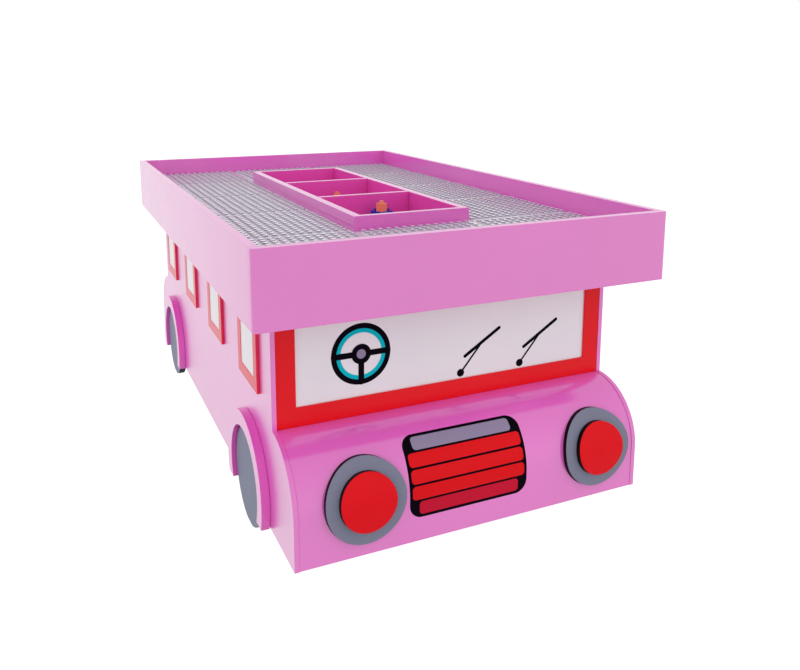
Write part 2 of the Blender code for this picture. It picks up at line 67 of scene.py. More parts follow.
# Unevenness of the finishes, with noise in blotches to the metre
LACQUER_MOTTLE = 0.04                   # share by which the colour varies
LACQUER_HAZE = 0.04                     # by which the roughness varies
PEEL_DEPTH = 0.000002
PLASTIC_MOTTLE = 0.05
PLASTIC_GRAIN_DEPTH = 0.000004
WALL_SHADE_TO_LEVEL = (0.3, 0.9)              # steepness over which the painted shade on a wall gives way to the level faces' colour
PLY_PALE = (0.66, 0.50, 0.32)
PLY_DARK = (0.50, 0.34, 0.19)
PLY_GLUE = (0.30, 0.19, 0.10)
PLY_LAYER = 0.0014
PLY_GRAIN_DEPTH = 0.0001
ZINC_GRAIN_DEPTH = 0.000006

# Meshes
WELD_DISTANCE = 0.00001
FLAT_ANGLE = math.radians(0.5)          # faces flatter than this to each other are joined
EDGE_ANGLE = math.radians(40)           # edges sharper than this are rounded
EDGE_SEGMENTS = 2
FACE_WEIGHT = 100                       # makes the largest face decide the shading of its corners
SQUARE_ON = 0.9                         # least share of a face's direction along an axis it faces

# Studs, on the base plates and on the bricks
STUD_PITCH = 0.016
STUD_RADIUS = 0.0047
STUD_HEIGHT = 0.0044

# Base plates
PLATE_STUDS = 14                        # across a plate
STUD_EDGE = 0.0004
STUD_SEGMENTS = 16                      # a multiple of 8, so that the cells meet corner to corner
PLATE_EDGE = 0.0004

# End boards of the rim
RIM_CORNER = 0.008                      # radius of the tray's corners
RIM_CORNER_STEPS = 8
BOARD_EDGE = 0.0006

# Side windows
WINDOW_FRAME = 0.021
WINDOW_RECESS = 0.001
WINDOW_EDGE = 0.0004

# Bent bonnet, and the lamps on it
SKIN_RADIUS = 0.1038
CONTACT_GAP = 0.0003
LAMP_TILT = math.radians(15)
LAMP_HEIGHT = 0.138
LAMP_SEGMENTS = 96
LAMP_RINGS = 10
LAMP_EDGE = 0.0007

# Bricks
BRICK_PLAY = 0.0002                     # a brick is this much smaller than its pitches
BRICK_TOP = 0.0022
BRICK_WALL = 0.0022
SMALL_BRICK_WALL = 0.0029
BRICK_EDGE = 0.0003
BRICK_SEGMENTS = 32
TUBE_WALL = 0.0012
BRICK_TURN = math.radians(21.4)
LOOSE_BRICK_TURN = math.radians(-24)

# Wheel bolts
BOLT_RADIUS = 0.004
BOLT_CHAMFER = 0.0006
BOLT_SEGMENTS = 48
HEAD_SLENDERNESS = 0.55                 # a head's height over its radius
HEAD_SIDE = 0.3                         # share of a head's height below its dome
HEAD_DOME = math.radians(62)            # turn of the dome, from its foot to its top
HEAD_DOME_STEPS = 5
SOCKET_REACH = 0.0025                   # from the middle to a flat of the hexagon
SOCKET_DEPTH = 0.0026

# Prints, in thin layers of film
FILM = 0.00012
FILM_GAP = 0.00002
CORNER_STEPS = 8
PRINT_SEGMENTS = 96

# Steering wheel printed on the windscreen
STEERING_PLACE = (-0.165, 0.330)        # x and z
STEERING_RIM = (0.043, 0.052)           # inner and outer radius
STEERING_RING = (0.036, 0.043)
STEERING_HUB = 0.017
STEERING_CAP = 0.008
SPOKE_WIDTH = 0.010
SPOKE_TURNS = (0, 180, 270)             # degrees

# Wipers printed on the windscreen, each with its foot and its blade's middle
WIPERS = (((0.020, 0.268), (0.062, 0.318)), ((0.140, 0.268), (0.182, 0.318)))
BLADE_HALF = 0.040
BLADE_TURN = math.radians(32)
BLADE_WIDTH = 0.006
ARM_WIDTH = 0.0035
FOOT_RADIUS = 0.007

# Grille printed on the bonnet, by x and by the way up its skin
GRILLE_X = (-0.128, 0.088)
GRILLE_UP = (0.088, 0.222)
GRILLE_CORNER = 0.022
GRILLE_BORDER = 0.005
SLAT_GAP = 0.0035
SLAT_CORNER = 0.006
SLAT_STEP = 0.002                       # between the rows of faces up a slat
END_SLAT_INSET = 0.012                  # of the first and the last slat, by the grille's corners

# Places on the model
bonnet_low, bonnet_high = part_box("bonnet_skin")
BEND_Y = bonnet_low.y + SKIN_RADIUS
BEND_Z = bonnet_high.z - SKIN_RADIUS
SCREEN_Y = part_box("windscreen_panel")[0].y


def make_camera():
    """The camera that took the photograph."""
    data = bpy.data.cameras.new("camera")
    data.sensor_width = SENSOR_WIDTH
    data.lens = FOCAL_PIXELS * SENSOR_WIDTH / IMAGE_WIDTH
    data.shift_x = (MIDDLE_PIXEL[0] - AIM_PIXEL[0]) / IMAGE_WIDTH
    data.shift_y = (AIM_PIXEL[1] - MIDDLE_PIXEL[1]) / IMAGE_WIDTH
    camera = bpy.data.objects.new("camera", data)
    camera.location = CAMERA_PLACE
    camera.rotation_euler = (math.pi / 2 - CAMERA_DOWN, 0.0, CAMERA_TURN)
    bpy.context.scene.collection.objects.link(camera)
    bpy.context.scene.camera = camera


def by_ray(tree, values):
    """A node's output with one value where it is seen, one where mirrored and one as light."""
    path = tree.nodes.new("ShaderNodeLightPath")
    result = None
    for ray, use in (("Is Camera Ray", "seen"), ("Is Glossy Ray", "mirrored")):
        step = tree.nodes.new("ShaderNodeMath")
        step.operation = "MULTIPLY_ADD"
        tree.links.new(path.outputs[ray], step.inputs[0])
        step.inputs[1].default_value = values[use] - values["lighting"]
        step.inputs[2].default_value = values["lighting"]
        if result:
            tree.links.new(result, step.inputs[2])
        result = step.outputs["Value"]
    return result


def make_sky():
    """A white sky that is brightest at the horizon."""
    world = bpy.data.worlds.new("studio")
    world.use_nodes = True
    tree = world.node_tree
    background = tree.nodes["Background"]
    background.inputs["Color"].default_value = (1.0, 1.0, 1.0, 1.0)
    direction = tree.nodes.new("ShaderNodeTexCoord")
    split = tree.nodes.new("ShaderNodeSeparateXYZ")
    tree.links.new(direction.outputs["Generated"], split.inputs["Vector"])
    fall = tree.nodes.new("ShaderNodeMath")
    fall.operation = "MULTIPLY_ADD"
    tree.links.new(split.outputs["Z"], fall.inputs[0])
    tree.links.new(by_ray(tree, SKY_FALL), fall.inputs[1])
    tree.links.new(by_ray(tree, SKY), fall.inputs[2])
    tree.links.new(fall.outputs["Value"], background.inputs["Strength"])
    bpy.context.scene.world = world
    bpy.context.scene.view_settings.view_transform = "Standard"


def make_floor():
    """A plain white floor."""
    material = bpy.data.materials.new("floor")
    material.use_nodes = True
    tree = material.node_tree
    shader = tree.nodes["Principled BSDF"]
    shader.inputs["Base Color"].default_value = (FLOOR_GREY, FLOOR_GREY, FLOOR_GREY, 1.0)
    shader.inputs["Roughness"].default_value = 1.0
    shader.inputs["Specular IOR Level"].default_value = 0.0
    shader.inputs["Emission Color"].default_value = (1.0, 1.0, 1.0, 1.0)
    tree.links.new(by_ray(tree, FLOOR_GLOW), shader.inputs["Emission Strength"])
    shape = bmesh.new()
    bmesh.ops.create_grid(shape, x_segments=1, y_segments=1, size=FLOOR_REACH)
    mesh = bpy.data.meshes.new("floor")
    shape.to_mesh(mesh)
    shape.free()
    mesh.materials.append(material)
    floor = bpy.data.objects.new("floor", mesh)
    bpy.context.scene.collection.objects.link(floor)


class Finish:
    """A Principled material and the nodes that vary it, in metres from the piece's own origin."""

    def __init__(self, name, colour, roughness, **sockets):
        self.material = bpy.data.materials.new(name)
        self.material.use_nodes = True
        self.tree = self.material.node_tree
        self.shader = self.tree.nodes["Principled BSDF"]
        self.shader.inputs["Base Color"].default_value = (*colour, 1.0)
        self.shader.inputs["Roughness"].default_value = roughness
        for socket, value in sockets.items():
            self.shader.inputs[socket.replace("_", " ")].default_value = value
        self.coordinates = self.tree.nodes.new("ShaderNodeTexCoord")

    def link(self, source, target):
        """Join an output to an input."""
        self.tree.links.new(source, target)

    def noise(self, scale, detail=2.0, stretch=(1.0, 1.0, 1.0)):
        """Noise of so many blotches to the metre."""
        mapping = self.tree.nodes.new("ShaderNodeMapping")
        mapping.inputs["Scale"].default_value = stretch
        self.link(self.coordinates.outputs["Object"], mapping.inputs["Vector"])
        noise = self.tree.nodes.new("ShaderNodeTexNoise")
        noise.inputs["Scale"].default_value = scale
        noise.inputs["Detail"].default_value = detail
        self.link(mapping.outputs["Vector"], noise.inputs["Vector"])
        return noise.outputs["Fac"]

    def spread(self, value, low=0.0, high=1.0, out_low=0.0, out_high=1.0):
        """Map a value's range onto another range, with soft ends."""
        node = self.tree.nodes.new("ShaderNodeMapRange")
        node.interpolation_type = "SMOOTHSTEP"
        for socket, number in (("From Min", low), ("From Max", high),
                               ("To Min", out_low), ("To Max", out_high)):
            node.inputs[socket].default_value = number
        self.link(value, node.inputs["Value"])
        return node.outputs["Result"]

    def math(self, operation, value, number=0.0):
        """A sum on a value, and on a number where the sum takes two."""
        node = self.tree.nodes.new("ShaderNodeMath")
        node.operation = operation
        self.link(value, node.inputs[0])
        node.inputs[1].default_value = number
        return node.outputs["Value"]

    def axis(self, output, name):
        """One of X, Y and Z of a vector from the coordinates node."""
        split = self.tree.nodes.new("ShaderNodeSeparateXYZ")
        self.link(self.coordinates.outputs[output], split.inputs["Vector"])
        return split.outputs[name]

    def blend(self, value, first, second):
        """From a first to a second colour, each a colour or an output, as a value goes to 1."""
        mix = self.tree.nodes.new("ShaderNodeMix")
        mix.data_type = "RGBA"
        colour_inputs = [socket for socket in mix.inputs if socket.type == "RGBA"]
        for socket, colour in zip(colour_inputs, (first, second)):
            if isinstance(colour, (tuple, list)):
                socket.default_value = (*colour, 1.0)
            else:
                self.link(colour, socket)
        self.link(value, mix.inputs["Factor"])
        return next(socket for socket in mix.outputs if socket.type == "RGBA")

    def set_colour(self, colour):
        """Take the colour from an output."""
        self.link(colour, self.shader.inputs["Base Color"])

    def set_roughness(self, value):
        """Take the roughness from an output."""
        self.link(value, self.shader.inputs["Roughness"])

    def bump(self, value, depth):
        """Raise the surface by up to a depth where the value is 1."""
        node = self.tree.nodes.new("ShaderNodeBump")
        node.inputs["Distance"].default_value = depth
        self.link(value, node.inputs["Height"])
        self.link(node.outputs["Normal"], self.shader.inputs["Normal"])


def shades(colour, share):
    """A darker and a lighter shade of a colour."""
    return [c * (1 - share) for c in colour], [min(1.0, c * (1 + share)) for c in colour]


def lacquer(name, colour, roughness, **sockets):
    """Sprayed lacquer on board: faint orange peel, soft mottling and a slightly uneven gloss."""
    finish = Finish(name, colour, roughness, **sockets)
    mottle = finish.spread(finish.noise(5.0, detail=3.0))
    finish.set_colour(finish.blend(mottle, *shades(colour, LACQUER_MOTTLE)))
    haze = finish.noise(9.0, detail=3.0)
    gloss = (roughness - LACQUER_HAZE, roughness + LACQUER_HAZE)
    finish.set_roughness(finish.spread(haze, 0.0, 1.0, *gloss))
    finish.bump(finish.noise(350.0), PEEL_DEPTH)
    return finish.material


def moulded_plastic(name, colour, roughness, painted_wall_shade=None, **sockets):
    """Moulded plastic with a fine grain. Its walls may be painted darker than its level faces, as
    shade.
    """
    finish = Finish(name, colour, roughness, **sockets)
    mottle = finish.spread(finish.noise(40.0))
    blend = finish.blend(mottle, *shades(colour, PLASTIC_MOTTLE))
    # the walls' darker colour is painted shade, not the plastic's own colour
    if painted_wall_shade:
        level = finish.math("ABSOLUTE", finish.axis("Normal", "Z"))
        blend = finish.blend(finish.spread(level, *WALL_SHADE_TO_LEVEL), painted_wall_shade, blend)
    finish.set_colour(blend)
    finish.bump(finish.noise(1500.0), PLASTIC_GRAIN_DEPTH)
    return finish.material


def plywood(name, thickness_axis):
    """Bare birch plywood: long grain on its faces and thin layers on its edges."""
    finish = Finish(name, PLY_PALE, 0.55)
    grain = finish.spread(finish.noise(90.0, detail=6.0, stretch=(1.0, 0.06, 1.0)), 0.25, 0.75)
    face = finish.blend(grain, PLY_DARK, PLY_PALE)
    layer = finish.math("PINGPONG", finish.axis("Object", thickness_axis), PLY_LAYER)
    edge = finish.blend(finish.spread(layer, 0.0004, 0.0010), PLY_GLUE, PLY_PALE)
    facing = finish.math("ABSOLUTE", finish.axis("Normal", thickness_axis))
    finish.set_colour(finish.blend(finish.spread(facing, 0.6, 0.8), edge, face))
    finish.bump(grain, PLY_GRAIN_DEPTH)
    return finish.material


def zinc_steel(name):
    """Bright zinc-plated steel with a faint crystalline mottle."""
    finish = Finish(name, (0.62, 0.63, 0.66), 0.32, Metallic=1.0)
    finish.set_roughness(finish.spread(finish.noise(700.0), 0.3, 0.7, 0.24, 0.42))
    finish.bump(finish.noise(900.0), ZINC_GRAIN_DEPTH)
    return finish.material


# Pinks, each from the photograph
PINK = lacquer("pink_lacquer", (0.90, 0.13, 0.64), 0.19, IOR=2.2,
               Coat_Weight=0.7, Coat_Roughness=0.15)
SIDE_PINK = lacquer("side_pink_lacquer", (0.91, 0.12, 0.65), 0.32, IOR=3.2,
                    Coat_Weight=1.0, Coat_Roughness=0.27, Coat_IOR=2.1)
ARCH_PINK = lacquer("arch_pink_lacquer", (0.94, 0.12, 0.65), 0.26, IOR=1.55,
                    Coat_Weight=0.6, Coat_Roughness=0.20)
# The pink painted darker, as shade inside the bins, with a rougher gloss
BIN_PAINTED_SHADE_PINK = lacquer("bin_painted_shade_pink_lacquer", (0.82, 0.09, 0.50), 0.30, IOR=1.5)
# The pink painted lighter, as light falling on the bonnet; it is the same paint as the rim's
BONNET_PAINTED_LIGHT_PINK = lacquer("bonnet_painted_light_pink_lacquer", (0.97, 0.17, 0.70), 0.14, IOR=2.1)

# Other lacquers
RED = lacquer("red_lacquer", (0.97, 0.005, 0.014), 0.22, IOR=1.30)
WINDOW_RED = lacquer("window_red_lacquer", (0.93, 0.006, 0.06), 0.22, IOR=1.5)
LENS_RED = lacquer("lens_red_lacquer", (0.93, 0.005, 0.013), 0.30, IOR=1.22)
WHITE = lacquer("white_lacquer", (0.95, 0.92, 1.0), 0.20, IOR=2.2)
WHEEL_GREY = lacquer("wheel_grey_lacquer", (0.26, 0.285, 0.385), 0.40, IOR=1.12)
WHEEL_EDGE = lacquer("wheel_edge_lacquer", (0.02, 0.022, 0.05), 0.50, IOR=1.12)
LAMP_GREY = lacquer("lamp_grey_lacquer", (0.25, 0.26, 0.36), 0.30, IOR=1.3)
LAMP_EDGE_BLACK = lacquer("lamp_edge_lacquer", (0.006, 0.006, 0.008), 0.50, IOR=1.12)

# Prints
PRINT_BLACK = lacquer("black_print", (0.004, 0.002, 0.006), 0.30, IOR=1.08)
PRINT_CYAN = lacquer("cyan_print", (0.003, 0.60, 0.70), 0.30, IOR=1.15)
PRINT_GREY = lacquer("grey_print", (0.34, 0.29, 0.44), 0.30, IOR=1.2)
PRINT_RED = lacquer("red_print", (0.90, 0.006, 0.012), 0.30, IOR=1.2)
PRINT_DARK_RED = lacquer("dark_red_print", (0.70, 0.006, 0.040), 0.30, IOR=1.2)

# Plastics, bare wood and metal
# The plates' plastic is near white on level faces; the dark grey on the stud walls is painted shade
# between the studs
PLATE_GREY_AND_PAINTED_SHADE = moulded_plastic("base_plate_plastic", (0.88, 0.81, 0.93), 0.20, (0.32, 0.29, 0.37),
                             IOR=1.5, Coat_Weight=1.0, Coat_Roughness=0.10)
BLUE = moulded_plastic("blue_plastic", (0.01, 0.04, 0.46), 0.20)
ORANGE = moulded_plastic("orange_plastic", (0.92, 0.30, 0.16), 0.22)
PLY_UPRIGHT = plywood("upright_plywood", "X")
STEEL = zinc_steel("zinc_steel")

# Finish of each CAD node that stays, by the start of its name
FINISHES = {
    "rim_": PINK,
    "trough_": PINK,
    "deck_board": PINK,
    "side_panel_": SIDE_PINK,
    "rear_panel": PINK,
    "wheel_arch_": SIDE_PINK,
    # the bent skins take the lighter pink, which is painted light
    "bonnet_skin": BONNET_PAINTED_LIGHT_PINK,
    "boot_skin": BONNET_PAINTED_LIGHT_PINK,
    "windscreen_panel": WHITE,
    "windscreen_frame": RED,
    "carcass_side_": PLY_UPRIGHT,
    "wheel_front_": WHEEL_GREY,
    "wheel_rear_": WHEEL_GREY,
}

# Finish of the cut edges of boards that face sideways; the side panels' edges take the bonnet's
# lighter pink, which is painted light
EDGE_FINISHES = {
    "wheel_front_": WHEEL_EDGE,
    "wheel_rear_": WHEEL_EDGE,
    "side_panel_": BONNET_PAINTED_LIGHT_PINK,
    "wheel_arch_": ARCH_PINK,
}

# Which way each wall of the trough faces a bin, in X and Y
BIN_WAYS = {
    "trough_wall_front": (0, 1),
    "trough_wall_rear": (0, -1),
    "trough_wall_left": (1, 0),
    "trough_wall_right": (-1, 0),
}


def even_light(item):
    """Shade a piece smooth, with its flat faces still flat."""
    item.data.shade_smooth()
    modifier = item.modifiers.new("even_light", "WEIGHTED_NORMAL")
    modifier.weight = FACE_WEIGHT


def finish_node(node, material):
    """Give a CAD node its material, and smooth light over its rounded edges."""
    mesh = node.data
    for attribute in ("custom_normal", "sharp_edge", "sharp_face"):
        if attribute in mesh.attributes:
            mesh.attributes.remove(mesh.attributes[attribute])
    mesh.materials.clear()
    mesh.materials.append(material)
    weld = node.modifiers.new("weld", "WELD")
    weld.merge_threshold = WELD_DISTANCE
    flat = node.modifiers.new("flat_faces", "DECIMATE")
    flat.decimate_type = "DISSOLVE"
    flat.angle_limit = FLAT_ANGLE
    even_light(node)


def is_cut_edge(normal):
    """Whether a face of a board that faces sideways belongs to its cut edge."""
    return abs(normal.x) < SQUARE_ON


def faces_bin(name):
    """A test of whether a face of a trough board is inside a bin."""
    if name in BIN_WAYS:
        x, y = BIN_WAYS[name]
        return lambda normal: normal.x * x + normal.y * y > SQUARE_ON
    return lambda normal: abs(normal.y) > SQUARE_ON or name == "trough_floor"


def paint(node, material, test):
    """Give the faces of a node whose direction passes a test a material of their own, which on some
    boards is painted light or shade.
    """
    node.data.materials.append(material)
    for face in node.data.polygons:
        if test(face.normal):
            face.material_index = 1


def finish_nodes():
    """Finish the CAD nodes that stay."""
    for name, node in nodes.items():
        for start, material in FINISHES.items():
            if name.startswith(start):
                finish_node(node, material)
        for start, material in EDGE_FINISHES.items():
            if name.startswith(start):
                paint(node, material, is_cut_edge)
        # faces inside the bins get the darker pink, a painted shade
        if name.startswith("trough_"):
            paint(node, BIN_PAINTED_SHADE_PINK, faces_bin(name))


def add_item(name, mesh, body, replaced=None, place=(0.0, 0.0, 0.0)):
    """Put a mesh in the scene as a piece that rides on a body, and may stand for a CAD node."""
    item = bpy.data.objects.new(name, mesh)
    item.location = place
    bpy.context.scene.collection.objects.link(item)
    even_light(item)
    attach(item, body)
    if replaced:
        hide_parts(replaced)
    return item


def finished_mesh(name, shape, materials):
    """A mesh of a shape, with its faces turned outwards."""
    bmesh.ops.recalc_face_normals(shape, faces=shape.faces)
    mesh = bpy.data.meshes.new(name)
    shape.to_mesh(mesh)
    shape.free()
    for material in materials:
        mesh.materials.append(material)
    return mesh


def add_piece(name, shape, materials, replaced=None, body="table"):
    """Put a shape in the scene as a piece."""
    return add_item(name, finished_mesh(name, shape, materials), body, replaced)


def soften(item, width):
    """Round a piece's sharp edges by a small width, before its light is evened out."""
    modifier = item.modifiers.new("soft_edges", "BEVEL")
    modifier.width = width
    modifier.segments = EDGE_SEGMENTS
    modifier.limit_method = "ANGLE"
    modifier.angle_limit = EDGE_ANGLE
    item.modifiers.move(len(item.modifiers) - 1, 0)


def bridge(shape, first, second, material=0):
    """Faces between two loops with as many points each."""
    count = len(first)
    for place in range(count):
        after = (place + 1) % count
        corners = (first[place], first[after], second[after], second[place])
        shape.faces.new(corners).material_index = material


def stack(shape, loops, wall_materials=None, cap_materials=(0, 0)):
    """A closed skin over a row of loops of points, with a cap on the first and on the last."""
    rings = [[shape.verts.new(point) for point in loop] for loop in loops]
    for number, (first, second) in enumerate(zip(rings, rings[1:])):
        bridge(shape, first, second, wall_materials[number] if wall_materials else 0)
    for ring, material in ((rings[0], cap_materials[0]), (rings[-1], cap_materials[1])):
        shape.faces.new(ring).material_index = material


def circle(radius, height, segments, centre=(0.0, 0.0)):
    """Points round a level circle."""
    points = []
    for step in range(segments):
        turn = math.tau * step / segments
        points.append(Vector((centre[0] + radius * math.cos(turn),
                              centre[1] + radius * math.sin(turn), height)))
    return points


def stud_field(shape, count, pitch, profile, segments):
    """A square field of studs and the flat between them. A profile has radii and heights."""
    first = -(count - 1) * pitch / 2
    for column in range(count):
        for row in range(count):
            centre = (first + column * pitch, first + row * pitch)
            border = []
            for point in circle(1.0, 0.0, segments):
                reach = pitch / 2 / max(abs(point.x), abs(point.y))
                place = (centre[0] + point.x * reach, centre[1] + point.y * reach, profile[0][1])
                border.append(shape.verts.new(place))
            for radius, height in profile:
                ring = [shape.verts.new(p) for p in circle(radius, height, segments, centre)]
                bridge(shape, border, ring)
                border = ring
            shape.faces.new(border)
    bmesh.ops.remove_doubles(shape, verts=shape.verts, dist=WELD_DISTANCE)


def carry_on(shape, steps):
    """Carry a field's border on through squares and circles, by reach and height, and close it."""
    for outline, reach, height in steps:
        edges = [edge for edge in shape.edges if edge.is_boundary]
        grown = bmesh.ops.extrude_edge_only(shape, edges=edges)["geom"]
        for vertex in [item for item in grown if isinstance(item, bmesh.types.BMVert)]:
            x, y = vertex.co.x, vertex.co.y
            across = max(abs(x), abs(y)) if outline == "square" else math.hypot(x, y)
            vertex.co = (x * reach / across, y * reach / across, height)
    bmesh.ops.contextual_create(shape, geom=[edge for edge in shape.edges if edge.is_boundary])


def studded_plate_mesh(size, thickness):
    """A square base plate with its studs. Its origin is in the middle of its top."""
    shape = bmesh.new()
    profile = ((STUD_RADIUS, 0.0), (STUD_RADIUS, STUD_HEIGHT - STUD_EDGE),
               (STUD_RADIUS - STUD_EDGE, STUD_HEIGHT))
    stud_field(shape, PLATE_STUDS, STUD_PITCH, profile, STUD_SEGMENTS)
    half = size / 2
    carry_on(shape, (("square", half - PLATE_EDGE, 0.0), ("square", half, -PLATE_EDGE),
                     ("square", half, -thickness)))
    return finished_mesh("studded_plate", shape, (PLATE_GREY_AND_PAINTED_SHADE,))


def make_plates():
    """A studded plate for each base plate of the frame."""
    plates = sorted(name for name in nodes if name.startswith("base_plate_"))
    low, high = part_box(plates[0])
    mesh = studded_plate_mesh(high.x - low.x, high.z - low.z - STUD_HEIGHT)
    for name in plates:
        low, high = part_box(name)
        place = ((low.x + high.x) / 2, (low.y + high.y) / 2, high.z - STUD_HEIGHT)
        add_item("studded_" + name, mesh, "table", name, place)


def rim_outline(low, high, outward, level):
    """Points round an end board of the rim, whose two outer corners are rounded."""
    inner, outer = (high.y, low.y) if outward < 0 else (low.y, high.y)
    points = [(low.x, inner, level), (high.x, inner, level)]
    for side, x in ((1, high.x), (-1, low.x)):
        for step in range(RIM_CORNER_STEPS + 1):
            steps = step if side > 0 else RIM_CORNER_STEPS - step
            turn = steps * math.pi / 2 / RIM_CORNER_STEPS
            points.append((x - side * RIM_CORNER * (1 - math.cos(turn)),
                           outer - outward * RIM_CORNER * (1 - math.sin(turn)), level))
    return points


def make_rim_ends():
    """The rim's front and rear boards, with the rounded corners of the tray."""
    for name, outward in (("rim_front", -1), ("rim_rear", 1)):
        low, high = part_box(name)
        shape = bmesh.new()
        stack(shape, [rim_outline(low, high, outward, level) for level in (low.z, high.z)])
        board = add_piece("rounded_" + name, shape, (PINK,), name)
        soften(board, BOARD_EDGE)


def rectangle_loop(low, high, margin, level):
    """Corners of a rectangle in Y and Z, drawn in by a margin, at a level of X."""
    y = (low.y + margin, high.y - margin)
    z = (low.z + margin, high.z - margin)
    return [(level, y[0], z[0]), (level, y[1], z[0]), (level, y[1], z[1]), (level, y[0], z[1])]


def make_side_windows():
    """Red frames round white panes that are cut back a little."""
    for name in sorted(nodes):
        if not name.startswith("side_window_"):
            continue
        low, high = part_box(name)
        side = 1 if low.x > 0 else -1
        back, face = (low.x, high.x) if side > 0 else (high.x, low.x)
        shape = bmesh.new()
        stack(shape, [rectangle_loop(low, high, 0.0, back), rectangle_loop(low, high, 0.0, face),
                      rectangle_loop(low, high, WINDOW_FRAME, face),
                      rectangle_loop(low, high, WINDOW_FRAME, face - side * WINDOW_RECESS)],
              cap_materials=(0, 1))
        window = add_piece("painted_" + name, shape, (WINDOW_RED, WHITE), name)
        soften(window, WINDOW_EDGE)


def on_lamp_face(x, up, radius):
    """The point of the bonnet, at a bend radius, that is so far up a lamp's tilted face."""
    along = Vector((0.0, -math.cos(LAMP_TILT), math.sin(LAMP_TILT)))
    rise = Vector((0.0, math.sin(LAMP_TILT), math.cos(LAMP_TILT)))
    start = Vector((x, BEND_Y - SKIN_RADIUS, LAMP_HEIGHT)) + rise * up
    to_plane = (BEND_Y - radius - start.y) / along.y
    point = start + along * to_plane
    if point.z >= BEND_Z:
        out = Vector((0.0, start.y - BEND_Y, start.z - BEND_Z))
        half = out.dot(along)
        to_bend = math.sqrt(half * half - out.length_squared + radius * radius) - half
        point = start + along * to_bend
    return point


def lamp_loop(x, reach, radius):
    """Points round a lamp's outline, laid on the bonnet at a bend radius."""
    return [on_lamp_face(x + p.x, p.y, radius) for p in circle(reach, 0.0, LAMP_SEGMENTS)]


def make_lamp_disc(node, near, material):
    """A round disc bent over the bonnet, with a dark cut edge. Returns its face's bend radius."""
    low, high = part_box(node)
    x = (low.x + high.x) / 2
    reach = (high.x - low.x) / 2
    far = BEND_Y - low.y
    fractions = [step / LAMP_RINGS for step in range(1, LAMP_RINGS)]
    loops = [lamp_loop(x, reach * fraction, near) for fraction in fractions]
    loops.append(lamp_loop(x, reach, near))
    loops.append(lamp_loop(x, reach, far - LAMP_EDGE))
    loops.append(lamp_loop(x, reach - LAMP_EDGE, far))
    loops += [lamp_loop(x, reach * fraction, far) for fraction in reversed(fractions)]
    shape = bmesh.new()
    stack(shape, loops, [1] * LAMP_RINGS + [0] * LAMP_RINGS, (1, 0))
    add_piece("painted_" + node, shape, (material, LAMP_EDGE_BLACK), node)
    return far


def make_lamps():
    """A grey bezel and a red lens on it, for each headlamp."""
    for side in ("left", "right"):
        back = SKIN_RADIUS + CONTACT_GAP
        bezel_face = make_lamp_disc("lamp_bezel_" + side, back, LAMP_GREY)
        make_lamp_disc("lamp_lens_" + side, bezel_face + CONTACT_GAP, LENS_RED)


def make_brick(node, body, studs, wall, turn, material):
    """A hollow moulded brick with round studs, and with a tube inside where it has four."""
    low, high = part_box(node)
    height = high.z - low.z - STUD_HEIGHT
    half = (studs * STUD_PITCH - BRICK_PLAY) / 2
    ceiling = height - BRICK_TOP
    profile = ((STUD_RADIUS, height), (STUD_RADIUS, height + STUD_HEIGHT))
    shape = bmesh.new()
    stud_field(shape, studs, 2 * half / studs, profile, BRICK_SEGMENTS)
    steps = [("square", half, 0.0), ("square", half - wall, 0.0), ("square", half - wall, ceiling)]
    if studs > 1:
        tube = STUD_PITCH / math.sqrt(2) - STUD_RADIUS - CONTACT_GAP
        steps += [("circle", tube, ceiling), ("circle", tube, 0.0)]
        steps += [("circle", tube - TUBE_WALL, 0.0), ("circle", tube - TUBE_WALL, ceiling)]
    carry_on(shape, steps)
    middle = Vector(((low.x + high.x) / 2, (low.y + high.y) / 2, low.z))
    shape.transform(Matrix.Translation(middle) @ Matrix.Rotation(turn, 4, "Z"))
    brick = add_piece("moulded_" + node, shape, (material,), node, body)
    soften(brick, BRICK_EDGE)


def make_bricks():
    """The blue brick, the orange one pushed on it, and the loose orange one."""
    make_brick("brick_blue", "blue_brick", 2, BRICK_WALL, BRICK_TURN, BLUE)
    for node, body, turn in (("brick_orange_stacked", "stacked_brick", BRICK_TURN),
                             ("brick_orange_loose", "loose_brick", LOOSE_BRICK_TURN)):
        make_brick(node, body, 1, SMALL_BRICK_WALL, turn, ORANGE)


def hexagon(reach, height, segments):
    """Points round a level hexagon, spaced like those of a circle."""
    points = []
    for point in circle(1.0, height, segments):
        turn = math.atan2(point.y, point.x) % (math.pi / 3) - math.pi / 6
        stretch = reach / math.cos(turn)
        points.append(Vector((point.x * stretch, point.y * stretch, height)))
    return points


